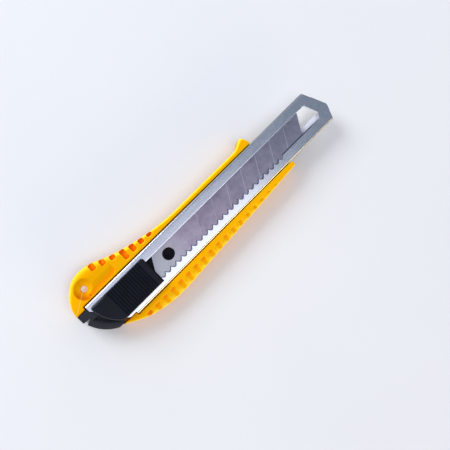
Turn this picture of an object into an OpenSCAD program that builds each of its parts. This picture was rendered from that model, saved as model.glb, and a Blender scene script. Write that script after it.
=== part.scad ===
// Snap-off utility knife: a yellow moulded grip, a stamped steel sleeve, a scored blade on a
// sliding carrier with a self-locking thumb slide, and a pull-out end cap that snaps the blade.
// +X points to the tip, +Y to the cutting edge, +Z out of the slider face.
// The grip's flat back lies on z = 0, the sleeve's centreline is y = 0, and x = 0 is mid-length.

/* [Sleeve] */
// Outside width of the steel sleeve
sleeve_w = 20; // [19.8:0.1:20.2]
// Outside height of the steel sleeve
sleeve_h = 4.2; // [4.2:0.1:4.6]
// Sheet thickness of the sleeve
sheet = 0.7; // [0.6:0.1:0.7]
// Pitch of the ratchet waves along the lower lip
wave_pitch = 3.515; // [3.5:0.005:3.55]
// Depth of the ratchet waves
wave_depth = 1.5; // [1.3:0.1:1.6]

/* [Blade] */
// Length of the blade between its slanted ends, measured along the centreline
blade_l = 100; // [96:1:100]
// Width of the blade
blade_w = 18; // [17.8:0.1:18]
// Thickness of the blade
blade_t = 0.5; // [0.4:0.05:0.6]
// Distance from one snap line to the next
snap_pitch = 10; // [8:0.5:10]
// Angle between a snap line and the knife's length
snap_angle = 60; // [58:1:62]
// Radius of the hole that the carrier's stud holds
blade_hole_r = 2.9; // [2.8:0.1:3.1]

/* [Grip] */
// Height of the grip's side rails above the table
grip_h = 11.5; // [11:0.1:11.8]
// Height of the channel floor that carries the sleeve
floor_h = 7.8; // [7.6:0.1:7.9]
// Radius of the lanyard hole
lanyard_r = 1.6; // [1.4:0.1:1.8]
// Number of finger flutes along the spine side
spine_flutes = 18; // [12:1:18]
// Number of flutes on the cutting-edge side
edge_flutes = 7; // [4:1:7]

/* [Slider] */
// Width of the thumb slide
slider_w = 14.8; // [14.4:0.1:15]
// Top of the thumb slide above the table
slider_top = 15.5; // [15.2:0.1:16]
// Number of grooves across the thumb slide
groove_count = 14; // [8:1:14]
// How far the thumb slide shifts to free the lock
unlock_shift = 1; // [0.8:0.1:1]

/* [Hidden] */

yellow = "#ffb800";
steel = "#b9bcc4";
blade_grey = "#8d8a96";
black = "#1e2126";
round_fn = 64;
play = 0.1;
eps = 0.01;

// Levels of the sleeve and of what slides in it
sleeve_floor = floor_h + sheet;
lip_top = floor_h + sleeve_h;
lip_under = lip_top - sheet;
blade_top = lip_under - play;
blade_under = blade_top - blade_t;
bend_r = 1.2;

// Plan of the sleeve
sleeve_rear = -73.2;
sleeve_tip = 78.7;
tip_shoulder = 73.1;
slot_edge_side = 4.9;
slot_spine_side = -4.7;
last_valley = 43.4;
first_wave = last_valley - 31 * wave_pitch;
window_front = 69.6;
strap_raise = 0.5;

// The rear curve shared by the sleeve's end, the thumb slide and the cap
rear_centre = [-52, 8.3];
slider_rear_r = 20;
sleeve_rear_r = 19.3;
lip_rear_y = 5.4;

// Plan of the blade and its carrier
hole_x = -28.6;
blade_rear = hole_x - 9.4;
snap_count = 7;
blade_front = blade_rear + blade_l;
slant = 1 / tan(snap_angle);
holder_front = -22;
holder_rear = -66;
slider_front = -39;
cavity_front = -41;
cavity_half = 6.2;
cavity_top = slider_top - 1.2;
button_under = lip_top + 0.15;

// The lock spring: a leaf on a pin, with a V-shaped tooth in the fifth-last wave under the slide
tooth_x = last_valley - 25 * wave_pitch;
tooth_reach = 5.75;
arm_y = -3.1;
leaf_t = 0.4;
leaf_under = lip_under + 0.05;
leaf_top = 13;
pin_x = -59;
pin_r = 0.6;
eye_r = pin_r + 0.06;
v_half = 1.45;

// The carrier's post and the slide's ribs that run in its side grooves
post_rear = -62.5;
cavity_rear = post_rear - unlock_shift - 0.5;
post_edge = [-1.6, 4.2];
post_top = cavity_top - 0.25;
rib_z = [leaf_top + 0.15, leaf_top + 0.6];

// Plan of the grip: knots along each side, which the section follows from rear to front
edge_knots = [
    [-79.3, 8.6], [-78.9, 11.4], [-76.4, 16.8], [-72, 21.2], [-68.6, 22.8], [-65.2, 23.5],
    [-58.4, 22.7], [-49, 18.9], [-40, 16.2], [-30, 14.1], [-18, 12.6], [-6, 12.4], [10, 12.5],
    [27.5, 12.5], [29.4, 12.8], [31.4, 13.6], [33.4, 14.8], [34.6, 15.3], [35.5, 15.1],
    [36.4, 13.8], [37, 12], [37.5, 10.4], [47.2, 10.3]
];
spine_knots = [
    [-79.3, 6], [-72, -5.6], [-66.3, -8.8], [-58.4, -13.2], [-52.3, -15.7], [-43, -17.7],
    [-34, -18.1], [-20, -17.3], [0, -16], [20, -14.8], [34, -13.7], [43.6, -13.1],
    [47.2, -13]
];
grip_stations = concat(
    [-79.3, -79.1, -78.7, -78, -77, -75.8, -74.4], [for (x = [-73:1.5:-50]) x],
    [for (x = [-47.5:2.5:27.5]) x], [for (x = [28.5:0.7:37.6]) x], [39, 41.5, 44, 47.2]
);
channel_half = sleeve_w / 2 + 0.3;
shoulder_y = -12.3;
nose_x = 45;
nose_r = 1.4;
hook_end = 37.2;
lanyard = [-67.8, 15.8];
dish_r = 5.1;
dish_depth = 1.9;
cord_recess_r = 5.5;
web_under = 7.4;
hollow_y = 11.7;
hollow_front = -51.4;
cap_centre = [-59.6, 9];
cap_r = 19.5;
cap_low_y = -8.3;
cap_floor = 4.5;
cap_shelf_r = cap_r - 3.2;
cap_gap = 0.15;
cap_prong_ys = [-1.2, 5.2];
flute_pitch = 5.08;
flute_r = 1.65;
flute_dip = 14;
flute_rim = 0.5;
first_spine_flute = -54.1;
pocket_w = 2.75;
pocket_depth = 2.8;
pocket_corner = 0.7;
pocket_pitch = 4.9;
first_pocket = -58.1;

// Rivets through the grip's floor and the sleeve's back
rivet_xs = [32, -12];
rivet_r = 1.5;
rivet_head_r = 2.6;
rivet_head_t = 0.5;
rivet_sink = 1.6;

// --- Helpers ---

// Index of the stretch of knots k that holds x
function stretch(k, x, i = 0) = (i >= len(k) - 2 || x < k[i + 1][0]) ? i : stretch(k, x, i + 1);

// Slope of a smooth curve through knots k at knot i
function slope(k, i) =
    let (a = max(i - 1, 0), b = min(i + 1, len(k) - 1)) (k[b][1] - k[a][1]) / (k[b][0] - k[a][0]);

// Height at x of the smooth curve through knots k
function curve_at(k, x) =
    let (
        i = stretch(k, x),
        w = k[i + 1][0] - k[i][0],
        t = min(max((x - k[i][0]) / w, 0), 1)
    )
    k[i][1] * (2 * t ^ 3 - 3 * t ^ 2 + 1) + slope(k, i) * w * (t ^ 3 - 2 * t ^ 2 + t)
    + k[i + 1][1] * (3 * t ^ 2 - 2 * t ^ 3) + slope(k, i + 1) * w * (t ^ 3 - t ^ 2);

// Quarter ellipse from angle a, with n steps, centred on c
function corner(c, ry, rz, a, n) =
    [for (i = [0:n]) [c[0] + ry * cos(a + 90 * i / n), c[1] + rz * sin(a + 90 * i / n)]];

// Outline of the grip across its width at x, from the spine side's underside round to the other
function grip_section(x) =
    let (
        low = curve_at(spine_knots, x),
        high = curve_at(edge_knots, x),
        span = (high - low) / 2 - 0.1,
        spine_ry = min(max(shoulder_y - low, 1.4), span),
        edge_ry = min(max((high - channel_half) * 0.35, 1.2), 3.4, span),
        foot = min(1.4, span),
        edge_foot = min(2.8, span)
    )
    concat(
        corner([low + foot, foot], foot, foot, 180, 3),
        corner([high - edge_foot, 2 * edge_foot], edge_foot, 2 * edge_foot, 270, 4),
        corner([high - edge_ry, grip_h - edge_ry], edge_ry, edge_ry, 0, 7),
        corner([low + spine_ry, grip_h - spine_ry * 0.85], spine_ry, spine_ry * 0.85, 90, 9)
    );

// A solid skinned over closed sections of equal length, each at its own x
module skin(stations, sections) {
    n = len(sections[0]);
    m = len(stations);
    points = [for (i = [0:m - 1]) for (p = sections[i]) [stations[i], p[0], p[1]]];
    sides = [
        for (i = [0:m - 2]) for (j = [0:n - 1])
            let (a = i * n + j, b = i * n + (j + 1) % n) each [[a, b + n, b], [a, a + n, b + n]]
    ];
    ends = [[for (j = [0:n - 1]) j], [for (j = [n - 1:-1:0]) (m - 1) * n + j]];
    polyhedron(points, concat(sides, ends), convexity = 6);
}

// A rectangle of y by z with round corners, along x
module round_bar(x0, x1, half, z0, z1, r) {
    translate([x0, 0, 0])
        rotate([90, 0, 90])
            linear_extrude(x1 - x0)
                union() {
                    translate([-half + r, z0])
                        square([2 * (half - r), z1 - z0]);
                    translate([-half, z0 + r])
                        square([2 * half, z1 - z0 - 2 * r]);
                    for (y = [-half + r, half - r], z = [z0 + r, z1 - r])
                        translate([y, z])
                            circle(r, $fn = 32);
                }
}

// A prism from z0 to z1 over points in plan
module slab(points, z0, z1) {
    translate([0, 0, z0])
        linear_extrude(z1 - z0)
            polygon(points);
}

// A box between two opposite corners
module box(a, b) {
    translate(a)
        cube(b - a);
}

// A disc or drum from z0 to z1
module drum(centre, r, z0, z1) {
    translate([centre[0], centre[1], z0])
        cylinder(h = z1 - z0, r = r, $fn = round_fn);
}

// --- Grip ---

// A flute across the spine rail: a round bar that dips outwards, with a flat inner end and a
// round outer end inside the rim; it gets shallower towards the tip
module flute(x) {
    half = flute_r + 0.1;
    low = curve_at(spine_knots, x);
    inner = shoulder_y - 0.2;
    outer = low + flute_rim + half;
    intersection() {
        union() {
            box([x - half, outer, 0], [x + half, outer + 8, 30]);
            drum([x, outer], half, 0, 30);
        }
        box([x - 2, low - 1, 0], [x + 2, inner, 30]);
        translate([x, shoulder_y + 1, grip_h + 0.55 + 0.5 * (x - first_spine_flute) / 90])
            rotate([90 + flute_dip, 0, 0])
                cylinder(h = 12, r = flute_r, $fn = 24);
    }
}

// A pocket across the other rail, with round corners in plan and a floor that falls outwards
module pocket(x, inner) {
    high = curve_at(edge_knots, x);
    half = pocket_w / 2;
    reach = high - 0.4 - inner;
    translate([x, inner, grip_h - pocket_depth])
        rotate([-10, 0, 0])
            union() {
                box([-half, pocket_corner, 0], [half, reach - pocket_corner, 6]);
                box([-half + pocket_corner, 0, 0], [half - pocket_corner, reach, 6]);
                for (side = [-1, 1], y = [pocket_corner, reach - pocket_corner])
                    drum([side * (half - pocket_corner), y], pocket_corner, 0, 6);
            }
}

module pockets() {
    inner_ends = [18.4, 17, 15.7, 11.3, 11.6, 11.7, 11.7];
    for (i = [0:edge_flutes - 1])
        pocket(first_pocket + i * pocket_pitch, inner_ends[i]);
}

// A slab that tilts up from depth below the rail's top at hollow_y, with a round front end
module tilted_hollow(depth, tilt, width, front_r) {
    front = hollow_front - front_r;
    translate([0, hollow_y, grip_h - depth])
        rotate([tilt, 0, 0])
            union() {
                box([lanyard[0], 0, 0], [front, width, 6]);
                box([front - eps, front_r, 0], [hollow_front, width, 6]);
                translate([front, front_r, 0])
                    cylinder(h = 6, r = front_r, $fn = round_fn);
            }
}

// A round dish round the lanyard hole, a hollow for the thumb that runs forward from it, steep
// at its inner side, and room for the cord's knot at the back
module thumb_hollow() {
    dish_sphere = (dish_r ^ 2 + dish_depth ^ 2) / (2 * dish_depth);
    translate([lanyard[0], lanyard[1], grip_h - dish_depth + dish_sphere])
        sphere(dish_sphere, $fn = round_fn);
    drum(lanyard, cord_recess_r, -1, web_under);
    box([-90, lanyard[1] - cord_recess_r, -1], [lanyard[0], lanyard[1] + cord_recess_r, web_under]);
    box([lanyard[0] - cord_recess_r, lanyard[1], -1], [lanyard[0] + cord_recess_r, 40, web_under]);
    tilted_hollow(1.5, 17, 6, 2.4);
    tilted_hollow(0.75, 6, 7.8, 2.4);
}

// The channel that the sleeve lies in, with a key ledge that fills the notch in its spine wall
module sleeve_channel() {
    difference() {
        box([-74, -channel_half, floor_h], [60, channel_half, 30]);
        box([-80, -channel_half - 1, floor_h - 1], [-58.4, -8.75, 31]);
    }
}

// The end cap's seat: everything above a low floor, and all that lies outside its rear curve
module cap_seat() {
    difference() {
        box([-90, -30, -1], [-62, 8.7, 30]);
        drum(cap_centre, cap_shelf_r, -2, cap_floor);
        box([-76, 0, -2], [-60, 12, cap_floor]);
        box([-64.9, -30, -2], [-60, 12, floor_h]);
        box([-66.4, -31, -2], [-60, cap_low_y - 0.25, 31]);
    }
}

module rivet_bore(x) {
    drum([x, 0], rivet_r + play / 2, -1, floor_h + 1);
    drum([x, 0], rivet_head_r + play, -1, rivet_sink);
}

module grip_body() {
    color(yellow)
        difference() {
            skin(grip_stations, [for (x = grip_stations) grip_section(x)]);
            sleeve_channel();
            cap_seat();
            slab(
                [[hook_end, 30], [60, 30], [60, -channel_half], [nose_x, -channel_half], [hook_end, 10.5]],
                -1, 30
            );
            difference() {
                box([nose_x, -20, -1], [50, 0, 30]);
                drum([nose_x, -channel_half - nose_r], nose_r, -2, 31);
            }
            drum(lanyard, lanyard_r, -1, 30);
            thumb_hollow();
            for (i = [0:spine_flutes - 1])
                flute(first_spine_flute + i * flute_pitch);
            pockets();
            for (x = rivet_xs)
                rivet_bore(x);
        }
}

// --- Sleeve ---

// Inner edge of the lower lip: straight, then a row of round scallops with pointed crests, then
// straight
function wave_edge() = concat(
    [[first_wave - 12, slot_spine_side], [first_wave - wave_pitch / 2, slot_spine_side]],
    [
        for (i = [0:31 * 8])
            let (x = first_wave + i * wave_pitch / 8)
                [x, slot_spine_side - wave_depth * abs(cos(180 * (x - last_valley) / wave_pitch))]
    ],
    [[last_valley + wave_pitch / 4, slot_spine_side - wave_depth * 0.6]],
    [[last_valley + wave_pitch * 0.4, slot_spine_side], [window_front + 1, slot_spine_side]]
);

// Plan of the slot between the lips, which ends in a slanted edge with a cut corner
module slot_plan() {
    polygon(
        concat(
            wave_edge(),
            [[71.1, slot_spine_side], [72.6, -2.4], [72.5, -1.8], [window_front, slot_edge_side]],
            [[sleeve_rear - 2, slot_edge_side], [sleeve_rear - 2, slot_spine_side]]
        )
    );
}

// The +Y lip's rear corner in plan, which reaches out from under the slide, grown by grow
function rear_corner(grow = 0) = [
    [sleeve_rear - grow, 6.8], [-71.9 - grow, lip_rear_y - grow], [rear_centre[0], lip_rear_y - grow],
    [rear_centre[0], 14], [sleeve_rear - grow, 14]
];

// Plan of the whole sleeve: a chevron tip and a rear end that follows the thumb slide's curve
module sleeve_plan() {
    half = sleeve_w / 2 + 1;
    intersection() {
        polygon([
            [sleeve_rear, half], [tip_shoulder - 0.4, half], [tip_shoulder, sleeve_w / 2 - 0.2],
            [sleeve_tip - 0.1, -1.8], [sleeve_tip, -2.6], [sleeve_tip - 0.2, -3.4],
            [76.3, -sleeve_w / 2], [76, -half], [sleeve_rear, -half]
        ]);
        union() {
            translate(rear_centre)
                circle(sleeve_rear_r, $fn = 120);
            polygon(rear_corner());
            translate([rear_centre[0] - eps, -half])
                square([150, 2 * half]);
        }
    }
}

module channel_shell() {
    inner = sleeve_w / 2 - sheet;
    difference() {
        round_bar(sleeve_rear, sleeve_tip, sleeve_w / 2, floor_h, lip_top, bend_r);
        round_bar(sleeve_rear - 1, sleeve_tip + 1, inner, sleeve_floor, lip_under, bend_r - sheet);
    }
}

// The strap that joins the lips in front of the slot, pressed up clear of the blade
module raised_strap() {
    intersection() {
        difference() {
            box([60, -5.4, lip_under], [80, 5.6, lip_top + strap_raise]);
            box([59, -4.7, lip_under - 1], [81, 4.9, lip_under + strap_raise]);
        }
        translate([0, 0, lip_under - 1])
            linear_extrude(5)
                difference() {
                    sleeve_plan();
                    slot_plan();
                }
        slab([[68.6, 5.6], [80, 5.6], [80, -5.4], [71, -5.4]], 0, 20);
    }
}

module sleeve() {
    color(steel)
        difference() {
            union() {
                intersection() {
                    channel_shell();
                    translate([0, 0, floor_h - 1])
                        linear_extrude(10)
                            sleeve_plan();
                }
                raised_strap();
            }
            translate([0, 0, lip_under - 0.3])
                linear_extrude(3)
                    slot_plan();
            slab(
                [[52, 4.9], [70.4, 4.9], [71.2, 4.2], [74.4, -2.6], [52, -2.6]],
                floor_h - 1, sleeve_floor + 0.2
            );
            box([66, -4.7, lip_under - 1], [90, 4.9, lip_under + strap_raise - eps]);
            box([-80, -20, floor_h - 1], [-58.1, -8.5, lip_top + 1]);
            for (x = rivet_xs)
                drum([x, 0], rivet_r + play / 2, floor_h - 1, sleeve_floor + 1);
        }
}

module rivet(x) {
    color(steel)
        union() {
            drum([x, 0], rivet_r, rivet_sink - rivet_head_t, sleeve_floor + rivet_head_t);
            drum([x, 0], rivet_head_r, rivet_sink - rivet_head_t, rivet_sink);
            drum([x, 0], rivet_head_r, sleeve_floor, sleeve_floor + rivet_head_t);
        }
}

// --- Blade ---

// A thin upright cutter along the snap line that crosses the centreline at x
module snap_line(x, z, depth) {
    width = 0.28;
    rise = blade_w / 2 + 0.2;
    slab(
        [
            [x - rise * slant, -rise], [x + width - rise * slant, -rise],
            [x + width + rise * slant, rise], [x + rise * slant, rise]
        ],
        z - depth, z + 1
    );
}

module blade() {
    half = blade_w / 2;
    bevel = 1.6;
    hole_chamfer = 0.2;
    color(blade_grey)
        difference() {
            slab(
                [
                    [blade_rear - half * slant, -half], [blade_front - half * slant, -half],
                    [blade_front + half * slant, half], [blade_rear + half * slant, half]
                ],
                blade_under, blade_top
            );
            for (side = [0, 1])
                translate([0, half, side == 0 ? blade_top : blade_under])
                    mirror([0, 0, side])
                        translate([0, -bevel, 0])
                            rotate([-atan2(blade_t / 2 - 0.02, bevel), 0, 0])
                                box([-60, 0, 0], [90, 3, 2]);
            for (i = [1:snap_count])
                snap_line(blade_front - i * snap_pitch, blade_top, 0.14);
            drum([hole_x, 0], blade_hole_r, blade_under - 1, blade_top + 1);
            translate([hole_x, 0, blade_top - hole_chamfer])
                cylinder(h = 1, r1 = blade_hole_r, r2 = blade_hole_r + 1, $fn = round_fn);
        }
}

// --- Carrier, slide and lock ---

// The carrier's rear edge in plan, from the edge side round inside the sleeve's rear curve
function holder_rear_edge(half) = [
    [holder_rear, half], [holder_rear, -3.5], [-60.5, -8.2], [-57.5, -8.2], [-56.8, -half]
];

// The carrier: a tray under the blade, a stud in its hole, and a post up into the thumb slide
module blade_holder() {
    half = blade_w / 2 - 0.1;
    tray_top = blade_under;
    rear_edge = blade_rear - play;
    stud_dish = 8;
    color(black)
        difference() {
            union() {
                slab(
                    concat(
                        holder_rear_edge(half),
                        [[holder_front - 3, -half], [holder_front, 0], [holder_front - 3, half]]
                    ),
                    sleeve_floor + play, tray_top
                );
                slab(
                    concat(
                        holder_rear_edge(half),
                        [[rear_edge - half * slant, -half], [rear_edge + half * slant, half]]
                    ),
                    tray_top, blade_top - 0.05
                );
                box([post_rear, post_edge[0], blade_top - play], [-55, post_edge[1], post_top]);
                box([-55 - eps, -0.6, blade_top - play], [-45.5, post_edge[1], post_top]);
                box([-61, -4.2, blade_top - play], [-57, post_edge[0] + eps, lip_under]);
                drum([pin_x, arm_y], pin_r, blade_top - 0.1, leaf_top);
                drum([hole_x, 0], blade_hole_r - 0.05, tray_top, blade_top);
            }
            translate([hole_x, 0, blade_top - 0.35 + stud_dish])
                sphere(stud_dish, $fn = round_fn);
            box([-80, -3, 0], [0, 3, sleeve_floor + rivet_head_t + 0.2]);
            for (y = post_edge)
                box([-70, y - 0.5, rib_z[0] - play], [-40, y + 0.5, rib_z[1] + play]);
        }
}

// Plan of the thumb slide: an arc at the rear, and round corners on the edge side
module slider_plan() {
    low = 0.1 - slider_w / 2;
    high = 0.1 + slider_w / 2;
    corner_r = 1.1;
    rear_corner_x = -70.85;
    front_corner_x = slider_front - corner_r;
    intersection() {
        translate([-80, low])
            square([80 + slider_front, slider_w]);
        union() {
            translate(rear_centre)
                circle(slider_rear_r, $fn = 120);
            translate([rear_centre[0], -20])
                square([40, 40]);
        }
        union() {
            translate([-80, low])
                square([80, slider_w - corner_r]);
            translate([rear_corner_x, 0])
                square([front_corner_x - rear_corner_x, high]);
            for (x = [rear_corner_x, front_corner_x])
                translate([x, high - corner_r])
                    circle(corner_r, $fn = 32);
        }
    }
}

// A ramp under the slide's roof that pushes the spring's tooth out of the waves
module unlock_ramp() {
    lean = (tooth_reach + arm_y) / v_half;
    y1 = arm_y - leaf_t / 2 - 0.3;
    x1 = tooth_x - v_half - (leaf_t / 2 + play) * norm([1, 1 / lean]) + (arm_y - y1) / lean;
    drop = cavity_half + y1;
    slab(
        [[x1 - 3, y1], [x1, y1], [x1 + drop / lean, -cavity_half - eps], [x1 - 3, -cavity_half - eps]],
        button_under, cavity_top + eps
    );
}

module slider_button() {
    groove_pitch = 1.455;
    groove_r = 0.5;
    groove_sink = 0.15;
    top_edge = 0.5;
    color(black)
        difference() {
            union() {
                difference() {
                    translate([0, 0, button_under])
                        linear_extrude(slider_top - button_under)
                            slider_plan();
                    box([cavity_rear, -cavity_half, 0], [cavity_front, cavity_half, cavity_top]);
                }
                unlock_ramp();
                box([-61, post_edge[1] - 0.35, rib_z[0]], [-50, cavity_half + eps, rib_z[1]]);
                box([-61, -cavity_half - eps, rib_z[0]], [-56, post_edge[0] + 0.35, rib_z[1]]);
            }
            for (i = [0:groove_count - 1])
                translate([-42.6 - i * groove_pitch, 0, slider_top - groove_sink])
                    rotate([90, 0, 0])
                        cylinder(h = 30, r = groove_r, center = true, $fn = 24);
            for (side = [-1, 1])
                translate([0, side * slider_w / 2 + 0.1, slider_top])
                    rotate([45, 0, 0])
                        box([-90, -top_edge, -top_edge], [0, top_edge, top_edge]);
            translate([slider_front, 0, slider_top])
                rotate([0, 45, 0])
                    box([-top_edge, -20, -top_edge], [top_edge, 20, top_edge]);
            difference() {
                box([-80, -20, slider_top - top_edge], [rear_centre[0] - 5, 20, slider_top + 1]);
                translate([rear_centre[0], rear_centre[1], slider_top - top_edge - 1])
                    cylinder(
                        h = top_edge + 3, r1 = slider_rear_r + 1, r2 = slider_rear_r - top_edge - 2,
                        $fn = 120
                    );
            }
        }
}

// A strip on edge along points in plan, with round joints
module strip(points, t, z0, z1) {
    for (i = [0:len(points) - 2])
        let (
            a = points[i],
            b = points[i + 1],
            d = (b - a) / norm(b - a),
            n = [-d[1], d[0]] * t / 2
        )
            slab([a - n, b - n, b + n, a + n], z0, z1);
    for (p = points)
        drum(p, t / 2, z0, z1);
}

module lock_spring() {
    color(steel)
        difference() {
            union() {
                drum([pin_x, arm_y], eye_r + leaf_t, leaf_under, leaf_top);
                strip(
                    [
                        [pin_x, arm_y], [tooth_x - v_half, arm_y], [tooth_x, -tooth_reach],
                        [tooth_x + v_half, arm_y]
                    ],
                    leaf_t, leaf_under, leaf_top
                );
            }
            drum([pin_x, arm_y], eye_r, 0, 20);
        }
}

// --- End cap ---

// The prongs that plug into the sleeve's rear, grown by grow at the rear
module cap_prongs(grow = 0) {
    for (y = cap_prong_ys)
        box([-72 - grow, y, sleeve_floor + cap_gap], [-66.8, y + 2.8, lip_under - cap_gap]);
}

// The cap: a block behind the sleeve with a round, chamfered rear, a shelf that dips towards the
// thumb slide, a snap slot, and two prongs
module end_cap() {
    chamfer = 1.2;
    ridge_r = cap_r - 2.4;
    shelf_drop = 1.1;
    color(black)
        difference() {
            union() {
                intersection() {
                    union() {
                        drum(cap_centre, cap_r, 0.8, lip_top - chamfer);
                        translate([cap_centre[0], cap_centre[1], lip_top - chamfer])
                            cylinder(h = chamfer, r1 = cap_r, r2 = cap_r - chamfer * 0.8, $fn = round_fn);
                        box([-78.9, 4.5, 0.8], [-70, 8.5, lip_top]);
                    }
                    box([-79.5, cap_low_y, 0], [-65, 8.5, 20]);
                }
                cap_prongs();
            }
            difference() {
                translate([0, 0, floor_h - cap_gap])
                    linear_extrude(30)
                        union() {
                            translate(rear_centre)
                                circle(sleeve_rear_r + cap_gap, $fn = 120);
                            polygon(rear_corner(cap_gap));
                        }
                cap_prongs(5);
            }
            intersection() {
                translate([cap_centre[0], cap_centre[1], lip_top - shelf_drop])
                    cylinder(
                        h = shelf_drop + eps, r1 = ridge_r - 2 * shelf_drop, r2 = ridge_r,
                        $fn = round_fn
                    );
                box([-79.5, -20, 0], [-60, 2.8, 20]);
            }
            drum(cap_centre, cap_shelf_r + cap_gap, -1, cap_floor + cap_gap);
            box([-76 - cap_gap, -cap_gap, -2], [-60, 20, cap_floor + cap_gap]);
            box([-65 - 2 * cap_gap, -20, -2], [-60, 20, sleeve_floor]);
            slab([[-85, 6], [-78.4, 4.65], [-75.3, 4.25], [-75.3, 3.65], [-78.2, 2.9], [-85, 1.2]], -1, 30);
        }
}

grip_body();
sleeve();
blade();
blade_holder();
slider_button();
lock_spring();
end_cap();
rivet(rivet_xs[0]);  // front_rivet
rivet(rivet_xs[1]);  // rear_rivet
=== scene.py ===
"""Looks of the utility knife: finer pieces, materials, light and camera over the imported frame."""
import math

import bpy
from mathutils import Matrix, Vector


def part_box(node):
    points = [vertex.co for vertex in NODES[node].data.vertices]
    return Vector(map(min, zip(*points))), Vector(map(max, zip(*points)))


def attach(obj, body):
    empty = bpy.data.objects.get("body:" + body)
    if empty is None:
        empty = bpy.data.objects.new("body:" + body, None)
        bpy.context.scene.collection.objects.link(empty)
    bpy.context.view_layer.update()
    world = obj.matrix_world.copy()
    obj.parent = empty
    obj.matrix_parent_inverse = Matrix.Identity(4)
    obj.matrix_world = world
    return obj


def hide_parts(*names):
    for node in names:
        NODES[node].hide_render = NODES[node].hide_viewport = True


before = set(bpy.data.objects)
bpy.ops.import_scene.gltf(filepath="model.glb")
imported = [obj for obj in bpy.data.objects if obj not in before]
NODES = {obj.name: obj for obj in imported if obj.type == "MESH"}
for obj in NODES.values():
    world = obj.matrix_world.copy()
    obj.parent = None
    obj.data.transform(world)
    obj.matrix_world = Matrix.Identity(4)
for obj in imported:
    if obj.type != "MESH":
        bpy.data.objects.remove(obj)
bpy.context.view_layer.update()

MM = 0.001
SCENE = bpy.context.scene

# Places on the grip: the cord hole with its dish, the thumb hollow, the knit line by the hole,
# where the thin rail of the cutting-edge side starts, how far forward the painted shade in its
# pockets reaches, and how high the painted shade low on its side goes
HOLE = Vector((-67.8, 15.8, 0)) * MM
DISH_R = 5.2 * MM
HOLLOW_X = (-68 * MM, -50 * MM)
HOLLOW_Y = (10.8 * MM, 19 * MM)
KNIT_START = Vector((-79.0, 9.2, 0)) * MM
KNIT_END = Vector((-68.8, 15.6, 0)) * MM
THIN_RAIL_X = (-58 * MM, -45 * MM)
RECESS_SHADE_FADE_X = (-15 * MM, 30 * MM)
LOW_SIDE_SHADE_Z = (7 * MM, 10 * MM)

# Places on the sleeve: its floor, its lips, the ratchet waves, the window at the tip, and where its
# painted shade and painted reflections lie
FLOOR_TOP = 8.5 * MM
LIP_UNDER = 11.3 * MM
SPINE_LIP_Y = -4.7 * MM
EDGE_LIP_Y = 4.9 * MM
WAVE_PITCH = 3.515 * MM
WAVE_DEPTH = 1.5 * MM
LAST_VALLEY = 43.4 * MM
FRONT_STRIP_X = 60 * MM
WINDOW_X = 66 * MM
BENDS_Y = (9.2 * MM, 9.7 * MM)
BEND_SHADE_X = (25 * MM, 60 * MM)
DIM_REFLECTION_MIDDLE_X = -2 * MM
DIM_REFLECTION_HALF = 32 * MM

# The blade's snap lines, and the tops of the slide and the cap
BLADE_HALF_WIDTH = 9 * MM
SNAP_PITCH = 10 * MM
SNAP_SLOPE = math.radians(60)
SLIDE_REAR_X = (-65 * MM, -63 * MM)
CAP_RIDGE_Z = (11.2 * MM, 11.8 * MM)

# Colours, as linear red, green and blue
GOLD_DEEP = (0.97, 0.43, 0.0004)
GOLD = (0.99, 0.47, 0.0006)
RIM_HIGHLIGHT = (1.0, 0.80, 0.02)
RECESS_SHADE_ORANGE = (0.98, 0.21, 0.0002)
HOLLOW_WALL_SHADE = (0.66, 0.12, 0.0002)
LOW_SIDE_SHADE = (0.52, 0.27, 0.0003)
KNIT_LINE_HIGHLIGHT = (1.0, 0.72, 0.16)
PLATE_DARK = (0.55, 0.57, 0.61)
PLATE = (0.61, 0.63, 0.67)
BEND_SHADE = (0.16, 0.175, 0.2)
DIM_REFLECTION = (0.05, 0.065, 0.1)
GAP_SHADOW = (0.05, 0.05, 0.08)
EDGE_HIGHLIGHT = (0.9, 0.9, 0.95)
STRIP_REFLECTION = (0.92, 0.93, 1.0)
BLADE_PURPLE = ((0.24, 0.195, 0.255), (0.36, 0.305, 0.37))
BLADE_BLUE = ((0.23, 0.225, 0.28), (0.33, 0.325, 0.385))
BLADE_REAR = (0.33, 0.335, 0.355)
BLADE_GROUND = (0.5, 0.49, 0.52)
SNAP_LINE_HIGHLIGHT = (0.78, 0.77, 0.82)
SPRING_DARK = (0.6, 0.6, 0.62)
SPRING_LIGHT = (0.74, 0.74, 0.76)
HIGHLIGHT_BLACK = (0.04, 0.043, 0.055)
TABLE_DARK = (0.815, 0.83, 0.835)
TABLE_LIGHT = (0.835, 0.85, 0.855)

# Camera: its place, what it looks towards, and what is up in its picture
CAMERA_PLACE = Vector((-52.9, 16.3, 341.1)) * MM
CAMERA_GAZE = Vector((0.1585, -0.0764, -0.9844))
CAMERA_UP = Vector((0.6992, 0.7126, 0.0572))
CAMERA_LENS = 56


# --- Node helpers ---

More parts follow.
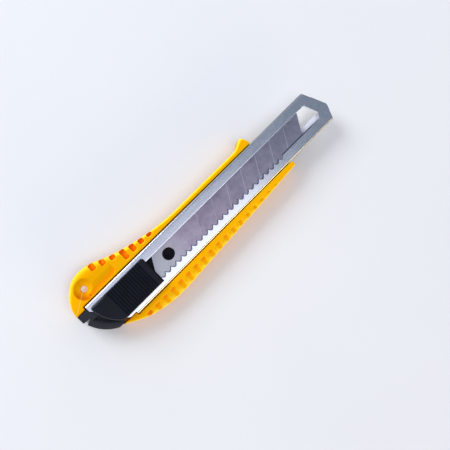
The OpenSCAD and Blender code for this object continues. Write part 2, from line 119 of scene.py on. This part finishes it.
class Nodes:
    """Short calls for building a material's node tree."""

    def __init__(self, name):
        self.material = bpy.data.materials.new(name)
        self.material.use_nodes = True
        self.tree = self.material.node_tree
        self.shader = self.tree.nodes["Principled BSDF"]
        coords = self.tree.nodes.new("ShaderNodeTexCoord")
        self.object_coords = coords.outputs["Object"]
        self.normal = coords.outputs["Normal"]

    def link(self, source, target):
        """Links source to a socket, or to the shader's input of that name."""
        if isinstance(target, str):
            target = self.shader.inputs[target]
        self.tree.links.new(source, target)

    def put(self, value, socket):
        """Links value to socket, or sets it there when it is a number or a colour."""
        if hasattr(value, "is_linked"):
            self.link(value, socket)
        elif isinstance(value, tuple):
            socket.default_value = (*value, 1)
        else:
            socket.default_value = value

    def set(self, **values):
        for key, value in values.items():
            self.shader.inputs[key.replace("_", " ")].default_value = value

    def axis(self, vector, name):
        node = self.tree.nodes.new("ShaderNodeSeparateXYZ")
        self.link(vector, node.inputs[0])
        return node.outputs[name]

    def places(self):
        """The part's own x, y and z, in metres."""
        return [self.axis(self.object_coords, name) for name in "XYZ"]

    def across(self, direction, vector=None):
        """How far the part's own coordinates, or another vector, reach in a direction."""
        node = self.tree.nodes.new("ShaderNodeVectorMath")
        node.operation = "DOT_PRODUCT"
        node.inputs[1].default_value = direction
        self.link(vector or self.object_coords, node.inputs[0])
        return node.outputs["Value"]

    def noise(self, stretch, turn=(0, 0, 0), scale=1.0, detail=4.0, roughness=0.55):
        """Noise over the part's coordinates, stretched so that it can run along the part."""
        place = self.tree.nodes.new("ShaderNodeMapping")
        place.inputs["Scale"].default_value = stretch
        place.inputs["Rotation"].default_value = turn
        self.link(self.object_coords, place.inputs["Vector"])
        node = self.tree.nodes.new("ShaderNodeTexNoise")
        node.inputs["Scale"].default_value = scale
        node.inputs["Detail"].default_value = detail
        node.inputs["Roughness"].default_value = roughness
        self.link(place.outputs["Vector"], node.inputs["Vector"])
        return node.outputs["Fac"]

    def ramp(self, value, low, high, start=0.3, end=0.7):
        """The colour low up to start, and high from end on."""
        node = self.tree.nodes.new("ShaderNodeValToRGB")
        for element, position, colour in zip(node.color_ramp.elements, (start, end), (low, high)):
            element.position = position
            element.color = (*colour, 1)
        self.link(value, node.inputs["Fac"])
        return node.outputs["Color"]

    def mix(self, factor, a, b):
        node = self.tree.nodes.new("ShaderNodeMix")
        node.data_type = "RGBA"
        for value, socket in ((factor, node.inputs[0]), (a, node.inputs[6]), (b, node.inputs[7])):
            self.put(value, socket)
        return node.outputs[2]

    def maths(self, operation, a, b=0.0):
        node = self.tree.nodes.new("ShaderNodeMath")
        node.operation = operation
        self.put(a, node.inputs[0])
        self.put(b, node.inputs[1])
        return node.outputs[0]

    def product(self, first, *others):
        for other in others:
            first = self.maths("MULTIPLY", first, other)
        return first

    def rest(self, value):
        return self.maths("SUBTRACT", 1.0, value)

    def span(self, value, low, high, start=0.3, end=0.7):
        """From low, where value is at start, to high at end."""
        node = self.tree.nodes.new("ShaderNodeMapRange")
        node.inputs["From Min"].default_value = start
        node.inputs["From Max"].default_value = end
        node.inputs["To Min"].default_value = low
        node.inputs["To Max"].default_value = high
        self.link(value, node.inputs["Value"])
        return node.outputs["Result"]

    def rise(self, value, start, end, full=1.0):
        return self.span(value, 0.0, full, start, end)

    def fall(self, value, start, end, full=1.0):
        return self.span(value, full, 0.0, start, end)

    def stripe(self, distance, half_width, soft):
        """1 within half_width of distance 0, falling to 0 over soft."""
        return self.fall(self.maths("ABSOLUTE", distance), half_width, half_width + soft)

    def openness(self, distance):
        """1 on open surfaces, less the deeper a spot lies among others within distance."""
        node = self.tree.nodes.new("ShaderNodeAmbientOcclusion")
        node.samples = 8
        node.inputs["Distance"].default_value = distance
        return node.outputs["AO"]

    def bump(self, height, distance, strength):
        node = self.tree.nodes.new("ShaderNodeBump")
        node.inputs["Distance"].default_value = distance
        node.inputs["Strength"].default_value = strength
        self.link(height, node.inputs["Height"])
        self.link(node.outputs["Normal"], "Normal")


# --- Materials ---

def knit_line(n, x):
    """The fine line where the melt met, from the grip's rear corner to the cord hole."""
    along = (KNIT_END - KNIT_START).normalized()
    line_at = KNIT_START.cross(along).z
    offset = n.maths("SUBTRACT", n.across((-along.y, along.x, 0)), -line_at)
    line = n.stripe(offset, 0.06 * MM, 0.16 * MM)
    return n.product(line, n.fall(x, KNIT_END.x - 1.5 * MM, KNIT_END.x))


def yellow_plastic():
    """Golden ABS with painted light and shade: painted shade, deeper orange, in its pockets and on
    the walls of the cord dish and thumb hollow, a painted highlight on its rounded rims and along
    the knit line, and painted shade low on the cutting edge's side."""
    n = Nodes("yellow_abs")
    x, y, z = n.places()
    up = n.axis(n.normal, "Z")
    flow = n.noise((60, 110, 110), detail=3.0)
    colour = n.ramp(flow, GOLD_DEEP, GOLD)

    from_hole = [n.maths("SUBTRACT", place, middle) for place, middle in ((x, HOLE.x), (y, HOLE.y))]
    squared = n.maths("ADD", *(n.product(part, part) for part in from_hole))
    in_dish = n.fall(squared, DISH_R ** 2, (DISH_R + 0.5 * MM) ** 2)
    in_hollow = n.product(
        n.rise(x, HOLLOW_X[0], HOLLOW_X[0] + MM),
        n.fall(x, HOLLOW_X[1] - MM, HOLLOW_X[1]),
        n.rise(y, HOLLOW_Y[0], HOLLOW_Y[0] + 0.4 * MM),
        n.fall(y, HOLLOW_Y[1] - 2 * MM, HOLLOW_Y[1]),
    )

    # Painted highlight on the rounded rims, narrower on the thin rail and left off the dish and
    # hollow.
    thin_rail = n.product(n.rise(y, -MM, MM), n.rise(x, *THIN_RAIL_X))
    tight = n.product(n.fall(up, 0.88, 0.99), thin_rail)
    wide = n.product(n.fall(up, 0.6, 0.94), n.rest(thin_rail))
    rim_highlight = n.product(
        n.maths("ADD", tight, wide),
        n.rise(up, 0.02, 0.2, 0.9),
        n.rest(n.maths("MAXIMUM", in_dish, in_hollow)),
    )
    colour = n.mix(rim_highlight, colour, RIM_HIGHLIGHT)

    # Painted shade: deeper orange where the ambient occlusion finds pockets and flutes, fading out
    # towards the front.
    recess_shade = n.product(n.fall(n.openness(3.0 * MM), 0.45, 0.93), n.fall(x, *RECESS_SHADE_FADE_X))
    colour = n.mix(recess_shade, colour, RECESS_SHADE_ORANGE)

    # Painted shade on the walls of the cord dish and thumb hollow that face the tip and the cutting
    # edge's side.
    shaded_wall = n.rise(n.across((0.8, 0.6, 0), n.normal), 0.1, 0.5, 0.85)
    shaded_hollow = n.maths("MAXIMUM", in_dish, n.product(in_hollow, 0.4))
    colour = n.mix(n.product(shaded_wall, shaded_hollow), colour, HOLLOW_WALL_SHADE)

    # The knit line: bumped, with a painted highlight along it.
    knit = knit_line(n, x)
    colour = n.mix(n.product(knit, 0.45), colour, KNIT_LINE_HIGHLIGHT)

    # Painted shade low on the walls that face the cutting edge's side.
    edge_side_shade = n.rise(n.across((0, 1, 0), n.normal), 0.4, 0.8, 0.6)
    colour = n.mix(n.product(edge_side_shade, n.fall(z, *LOW_SIDE_SHADE_Z)), colour, LOW_SIDE_SHADE)
    n.link(colour, "Base Color")

    skin = n.noise((1, 1, 1), scale=2600, detail=5.0)
    n.link(n.span(skin, 0.34, 0.46), "Roughness")
    n.bump(n.maths("ADD", skin, n.product(knit, 2.0)), 0.02 * MM, 0.35)
    n.set(IOR=1.5, Specular_IOR_Level=0.35, Specular_Tint=(1.0, 0.7, 0.02, 1.0))
    n.set(Subsurface_Weight=0.1, Subsurface_Scale=2.0 * MM, Subsurface_Radius=(1.0, 0.4, 0.05))
    return n.material


def ratchet_edge(n, x):
    """How far across the sleeve the spine lip's edge lies at x: straight, or waved."""
    phase = n.product(n.maths("SUBTRACT", x, LAST_VALLEY), math.pi / WAVE_PITCH)
    scallop = n.product(n.maths("ABSOLUTE", n.maths("COSINE", phase)), -WAVE_DEPTH)
    in_waves = n.fall(x, LAST_VALLEY, LAST_VALLEY + 0.2 * MM)
    return n.maths("ADD", n.product(scallop, in_waves), SPINE_LIP_Y)


def sheet_steel():
    """Plated sheet with a soft grain, and painted light and shade: a painted shadow along the
    ratchet's cut edge, painted shade on the tip's bends, a painted highlight on the straight cut
    edge, a painted reflection, pale and not metallic, on the strip inside the front opening, and a
    painted dimmer reflection along the middle of the cutting edge's lip."""
    n = Nodes("sleeve_steel")
    x, y, z = n.places()
    grain = n.noise((120, 1500, 1500), roughness=0.6)
    mottle = n.noise((260, 420, 420), detail=5.0, roughness=0.6)
    both = n.mix(0.5, grain, mottle)
    colour = n.ramp(both, PLATE_DARK, PLATE)
    on_lip = n.rise(z, LIP_UNDER - 0.05 * MM, LIP_UNDER + 0.05 * MM)
    before_window = n.fall(x, WINDOW_X, WINDOW_X + MM)

    # Painted shadow along the ratchet's waved cut edge of the spine's lip.
    gap_shadow = n.stripe(n.maths("SUBTRACT", ratchet_edge(n, x), y), 0.36 * MM, 0.2 * MM)
    gap_shadow = n.product(gap_shadow, before_window, on_lip)
    colour = n.mix(n.product(gap_shadow, 0.9), colour, GAP_SHADOW)

    # Painted highlight along the straight cut edge of the cutting edge's lip.
    edge_highlight = n.stripe(n.maths("SUBTRACT", y, EDGE_LIP_Y + 0.2 * MM), 0.15 * MM, 0.2 * MM)
    edge_highlight = n.product(edge_highlight, before_window, on_lip)
    colour = n.mix(n.product(edge_highlight, 0.7), colour, EDGE_HIGHLIGHT)

    # Painted shade on the sleeve's bends towards the tip.
    bend_shade = n.product(n.rise(n.maths("ABSOLUTE", y), *BENDS_Y), n.rise(x, *BEND_SHADE_X, 0.85))
    colour = n.mix(bend_shade, colour, BEND_SHADE)

    # Painted dimmer reflection along the middle of the cutting edge's lip.
    dim_reflection = n.stripe(n.maths("SUBTRACT", x, DIM_REFLECTION_MIDDLE_X), DIM_REFLECTION_HALF, 20 * MM)
    dim_reflection = n.product(dim_reflection, n.rise(y, EDGE_LIP_Y, EDGE_LIP_Y + 0.3 * MM, 0.19), on_lip)
    colour = n.mix(dim_reflection, colour, DIM_REFLECTION)

    # Painted reflection: the strip inside the front opening is pale and not metallic.
    strip_reflection = n.fall(z, FLOOR_TOP + 0.05 * MM, FLOOR_TOP + 0.15 * MM)
    strip_reflection = n.product(strip_reflection, n.rise(x, FRONT_STRIP_X, FRONT_STRIP_X + MM))
    colour = n.mix(strip_reflection, colour, STRIP_REFLECTION)
    n.link(colour, "Base Color")
    n.link(n.rest(strip_reflection), "Metallic")
    n.link(n.span(both, 0.17, 0.22, 0.35, 0.65), "Roughness")
    n.bump(mottle, 0.01 * MM, 0.04)
    return n.material


def blade_steel():
    """Ground carbon steel: purple turning blue towards the tip and grey at the rear, with grinding
    lines across and snap lines painted bright as their painted highlight."""
    n = Nodes("blade_steel")
    x = n.axis(n.object_coords, "X")
    grinding = n.noise((3000, 90, 3000), turn=(0, 0, 0.5), detail=5.0, roughness=0.7)
    blotches = n.noise((170, 210, 210), detail=6.0, roughness=0.65)
    purple = n.ramp(blotches, *BLADE_PURPLE, 0.34, 0.66)
    blue = n.ramp(blotches, *BLADE_BLUE, 0.34, 0.66)
    colour = n.mix(n.rise(x, 0.0, 50 * MM), purple, blue)
    colour = n.mix(n.fall(x, -33 * MM, -16 * MM), colour, BLADE_REAR)
    colour = n.mix(n.span(grinding, 0.0, 0.16), colour, BLADE_GROUND)

    # Snap lines painted bright, as a painted highlight along the score lines.
    along = n.across((math.sin(SNAP_SLOPE), -math.cos(SNAP_SLOPE), 0))
    pitch = SNAP_PITCH * math.sin(SNAP_SLOPE)
    overhang = BLADE_HALF_WIDTH / math.tan(SNAP_SLOPE)
    first = (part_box("blade")[0][0] + overhang) * math.sin(SNAP_SLOPE)
    phase = n.maths("MODULO", n.maths("SUBTRACT", along, first - pitch / 2), pitch)
    line = n.stripe(n.maths("SUBTRACT", phase, pitch / 2), 0.1 * MM, 0.1 * MM)
    scored = n.rise(x, -18 * MM, 12 * MM, 0.5)
    colour = n.mix(n.product(line, scored), colour, SNAP_LINE_HIGHLIGHT)
    n.link(colour, "Base Color")
    n.link(n.span(grinding, 0.28, 0.4), "Roughness")
    n.bump(grinding, 0.01 * MM, 0.4)
    n.set(Metallic=1.0)
    return n.material


def spring_steel():
    """Bright plated steel of the lock spring and the rivets."""
    n = Nodes("spring_steel")
    grain = n.noise((900, 900, 900), detail=5.0)
    n.link(n.ramp(grain, SPRING_DARK, SPRING_LIGHT), "Base Color")
    n.link(n.span(grain, 0.22, 0.34), "Roughness")
    n.bump(grain, 0.01 * MM, 0.4)
    n.set(Metallic=1.0)
    return n.material


def black_plastic(name, dark, light, specular, highlight_mask=None):
    """Near-black moulding with a fine eroded texture, and a painted highlight, lighter, where the
    mask says.
    """
    n = Nodes(name)
    texture = n.noise((1, 1, 1), scale=3200, detail=6.0, roughness=0.65)
    wear = n.noise((170, 170, 170))
    colour = n.ramp(wear, dark, light, 0.35, 0.75)
    # Painted highlight, lighter, where the mask says.
    if highlight_mask:
        colour = n.mix(highlight_mask(n), colour, HIGHLIGHT_BLACK)
    n.link(colour, "Base Color")
    n.link(n.span(texture, 0.34, 0.5), "Roughness")
    n.bump(texture, 0.03 * MM, 0.4)
    n.set(IOR=1.5, Specular_IOR_Level=specular)
    return n.material


def slide_highlight(n):
    """Painted highlight on the slide's chamfer along its rear arc."""
    x, up = n.axis(n.object_coords, "X"), n.axis(n.normal, "Z")
    return n.product(n.fall(up, 0.8, 0.95), n.rise(up, 0.2, 0.5), n.fall(x, *SLIDE_REAR_X, 0.9))


def cap_highlight(n):
    """Painted highlight on the cap's outer ridge and block, above its dipped shelf, which stays
    darker as painted shade.
    """
    return n.rise(n.axis(n.object_coords, "Z"), *CAP_RIDGE_Z, 0.35)


def pale_table():
    """A plain pale table top, faintly mottled."""
    n = Nodes("table")
    n.link(n.ramp(n.noise((9, 9, 9), detail=2.0), TABLE_DARK, TABLE_LIGHT), "Base Color")
    n.set(Roughness=0.7, Specular_IOR_Level=0.2)
    return n.material


def paint(obj, material):
    """Gives every slot of obj the one material."""
    if not obj.data.materials:
        obj.data.materials.append(material)
    for i in range(len(obj.data.materials)):
        obj.data.materials[i] = material


# --- Pieces ---

def weld_corners(obj):
    """Joins corners that lie on each other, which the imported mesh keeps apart."""
    weld = obj.modifiers.new("weld", "WELD")
    weld.merge_threshold = 0.001 * MM


def smooth_faces(obj):
    for face in obj.data.polygons:
        face.use_smooth = True


def ease_edges(obj, width):
    """Rounds a stiff part's corners a little, as stamping and moulding leave them."""
    weld_corners(obj)
    flat = obj.modifiers.new("flat", "DECIMATE")
    flat.decimate_type = "DISSOLVE"
    flat.angle_limit = math.radians(0.4)
    bevel = obj.modifiers.new("ease", "BEVEL")
    bevel.width = width
    bevel.segments = 2
    bevel.limit_method = "ANGLE"
    bevel.angle_limit = math.radians(28)
    bevel.use_clamp_overlap = True
    bevel.harden_normals = False
    smooth_faces(obj)
    weighted = obj.modifiers.new("normals", "WEIGHTED_NORMAL")
    weighted.keep_sharp = False
    weighted.weight = 80


def moulded_copy(node, name, voxel, passes):
    """A finely meshed copy of a CAD node, with every edge softened as a moulding's are."""
    piece = bpy.data.objects.new(name, NODES[node].data.copy())
    SCENE.collection.objects.link(piece)
    weld_corners(piece)
    remesh = piece.modifiers.new("remesh", "REMESH")
    remesh.mode = "VOXEL"
    remesh.voxel_size = voxel
    soften = piece.modifiers.new("soften", "SMOOTH")
    soften.factor = 0.5
    soften.iterations = passes
    bpy.context.view_layer.update()
    evaluated = piece.evaluated_get(bpy.context.evaluated_depsgraph_get())
    mesh = bpy.data.meshes.new_from_object(evaluated)
    piece.modifiers.clear()
    piece.data = mesh
    smooth_faces(piece)
    return piece


# --- The knife ---

YELLOW = yellow_plastic()
SLEEVE = sheet_steel()
BLADE = blade_steel()
SPRING = spring_steel()
SLIDE_BLACK = black_plastic(
    "slide_black", (0.002, 0.003, 0.007), (0.004, 0.006, 0.012), 0.15, slide_highlight
)
CARRIER_BLACK = black_plastic("carrier_black", (0.001, 0.001, 0.003), (0.003, 0.003, 0.006), 0.08)
CAP_BLACK = black_plastic("cap_black", (0.003, 0.004, 0.008), (0.006, 0.007, 0.012), 0.2, cap_highlight)

grip = moulded_copy("grip_body", "grip_moulding", voxel=0.2 * MM, passes=8)
paint(grip, YELLOW)
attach(grip, "handle")
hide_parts("grip_body")

for node, material, edge in (
    ("sleeve", SLEEVE, 0.09 * MM),
    ("blade", BLADE, 0.03 * MM),
    ("blade_holder", CARRIER_BLACK, 0.12 * MM),
    ("slider_button", SLIDE_BLACK, 0.15 * MM),
    ("lock_spring", SPRING, 0.04 * MM),
    ("end_cap", CAP_BLACK, 0.25 * MM),
    ("front_rivet", SPRING, 0.15 * MM),
    ("rear_rivet", SPRING, 0.15 * MM),
):
    paint(NODES[node], material)
    ease_edges(NODES[node], edge)


# --- Table, light and camera ---

def table_top(half):
    mesh = bpy.data.meshes.new("table_top")
    corners = [(-half, -half, 0), (half, -half, 0), (half, half, 0), (-half, half, 0)]
    mesh.from_pydata(corners, [], [(0, 1, 2, 3)])
    table = bpy.data.objects.new("table_top", mesh)
    SCENE.collection.objects.link(table)
    paint(table, pale_table())


def studio_sky(overhead, overhead_tip, low, low_spine):
    """Even light all round: overhead dimmer towards the tip's side, and low down another tint on
    the cutting edge's side than on the spine's."""
    world = bpy.data.worlds.new("studio")
    SCENE.world = world
    world.use_nodes = True
    tree = world.node_tree
    direction = tree.nodes.new("ShaderNodeTexCoord").outputs["Generated"]
    parts = tree.nodes.new("ShaderNodeSeparateXYZ")
    tree.links.new(direction, parts.inputs[0])

    def fade(axis, start, end, near, far):
        amount = tree.nodes.new("ShaderNodeMapRange")
        amount.interpolation_type = "SMOOTHSTEP"
        amount.inputs["From Min"].default_value = start
        amount.inputs["From Max"].default_value = end
        tree.links.new(parts.outputs[axis], amount.inputs["Value"])
        blend = tree.nodes.new("ShaderNodeMix")
        blend.data_type = "RGBA"
        tree.links.new(amount.outputs["Result"], blend.inputs[0])
        for socket, colour in ((blend.inputs[6], near), (blend.inputs[7], far)):
            if isinstance(colour, tuple):
                socket.default_value = (*colour, 1)
            else:
                tree.links.new(colour, socket)
        return blend.outputs[2]

    above = fade("X", -0.04, 0.38, overhead, overhead_tip)
    around = fade("Y", -0.45, 0.45, low_spine, low)
    colour = fade("Z", 0.85, 0.70, above, around)
    tree.links.new(colour, tree.nodes["Background"].inputs["Color"])


def soft_light(name, place, aim, size, power, colour):
    data = bpy.data.lights.new(name, "AREA")
    data.shape = "RECTANGLE"
    data.size, data.size_y = size
    data.energy = power
    data.color = colour
    light = bpy.data.objects.new(name, data)
    SCENE.collection.objects.link(light)
    light.location = place
    light.rotation_mode = "QUATERNION"
    light.rotation_quaternion = (Vector(place) - Vector(aim)).to_track_quat("Z", "Y")


def look_from(place, target, roll_to, lens):
    """A camera at place that looks at target, with roll_to pointing up in its picture."""
    back = (place - target).normalized()
    right = roll_to.cross(back).normalized()
    up = back.cross(right)
    data = bpy.data.cameras.new("camera")
    data.lens = lens
    data.sensor_width = 36
    data.clip_start = 10 * MM
    data.clip_end = 10
    camera = bpy.data.objects.new("camera", data)
    SCENE.collection.objects.link(camera)
    turn = Matrix((right, up, back)).transposed().to_4x4()
    camera.matrix_world = Matrix.Translation(place) @ turn
    bpy.context.scene.camera = camera


table_top(half=1.5)
SCENE.view_settings.view_transform = "Standard"

studio_sky(
    overhead=(0.54, 0.59, 0.80),
    overhead_tip=(0.25, 0.30, 0.39),
    low=(0.66, 0.68, 0.76),
    low_spine=(0.42, 0.40, 0.39),
)
# A window-like key from the cutting edge's side, a warm fill from the spine's, and a card
# overhead for the sheet steel to reflect
soft_light("key", (-0.3, 1.17, 0.88), (0, 0, 0), (0.75, 0.75), 13.4, (0.95, 0.98, 1.0))
soft_light("fill", (0, -1.75, 0.31), (0, 0, 0), (1.7, 0.5), 15.0, (1.0, 0.79, 0.36))
soft_light("card", (-0.05, -0.34, 1.2), (-0.05, -0.34, 0), (0.76, 0.55), 2.45, (1.0, 0.98, 1.0))

look_from(CAMERA_PLACE, CAMERA_PLACE + CAMERA_GAZE * 341.1 * MM, CAMERA_UP, CAMERA_LENS)
